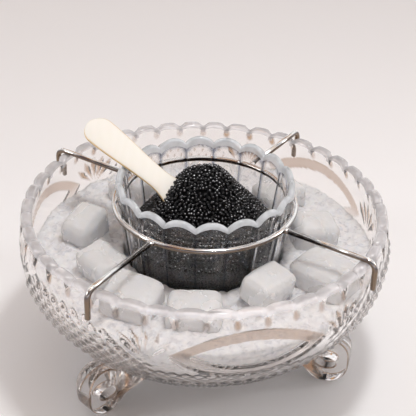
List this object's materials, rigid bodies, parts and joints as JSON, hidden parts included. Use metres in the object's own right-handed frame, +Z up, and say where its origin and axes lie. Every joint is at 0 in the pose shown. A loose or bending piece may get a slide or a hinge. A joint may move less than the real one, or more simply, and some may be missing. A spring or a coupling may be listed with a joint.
{
  "type": "caviar server",
  "caption": "Footed pressed-glass bowl of ice with a wire holder that hangs a glass cup of caviar in it, and a shell spoon.",
  "frame": {"origin": "centre of the bowl at table level, between its three feet", "axes": "+Z up along the bowl's axis, -Y towards the front that faces the camera"},
  "size_m": [0.2342, 0.2341, 0.1521],
  "materials": {
    "clear_glass": "clear pressed glass, fire polished",
    "cup_glass": "clear pressed glass with a cool cast, fire polished",
    "chrome_wire": "bright chromed steel wire",
    "shell": "polished mother-of-pearl",
    "caviar": "wet black roe",
    "ice": "melting ice, frosted"
  },
  "bodies": {
    "root": {"bowl": "clear_glass", "cup": "cup_glass", "holder_ring": "chrome_wire", "holder_arm_1": "chrome_wire", "holder_arm_2": "chrome_wire", "holder_arm_3": "chrome_wire", "holder_arm_4": "chrome_wire", "spoon": "shell", "caviar": "caviar", "ice_bed": "ice", "ice_cube_1": "ice", "ice_cube_2": "ice", "ice_cube_3": "ice", "ice_cube_4": "ice", "ice_cube_5": "ice", "ice_cube_6": "ice", "ice_cube_7": "ice", "ice_cube_8": "ice", "ice_cube_9": "ice", "ice_cube_10": "ice"}
  },
  "joints": []
}
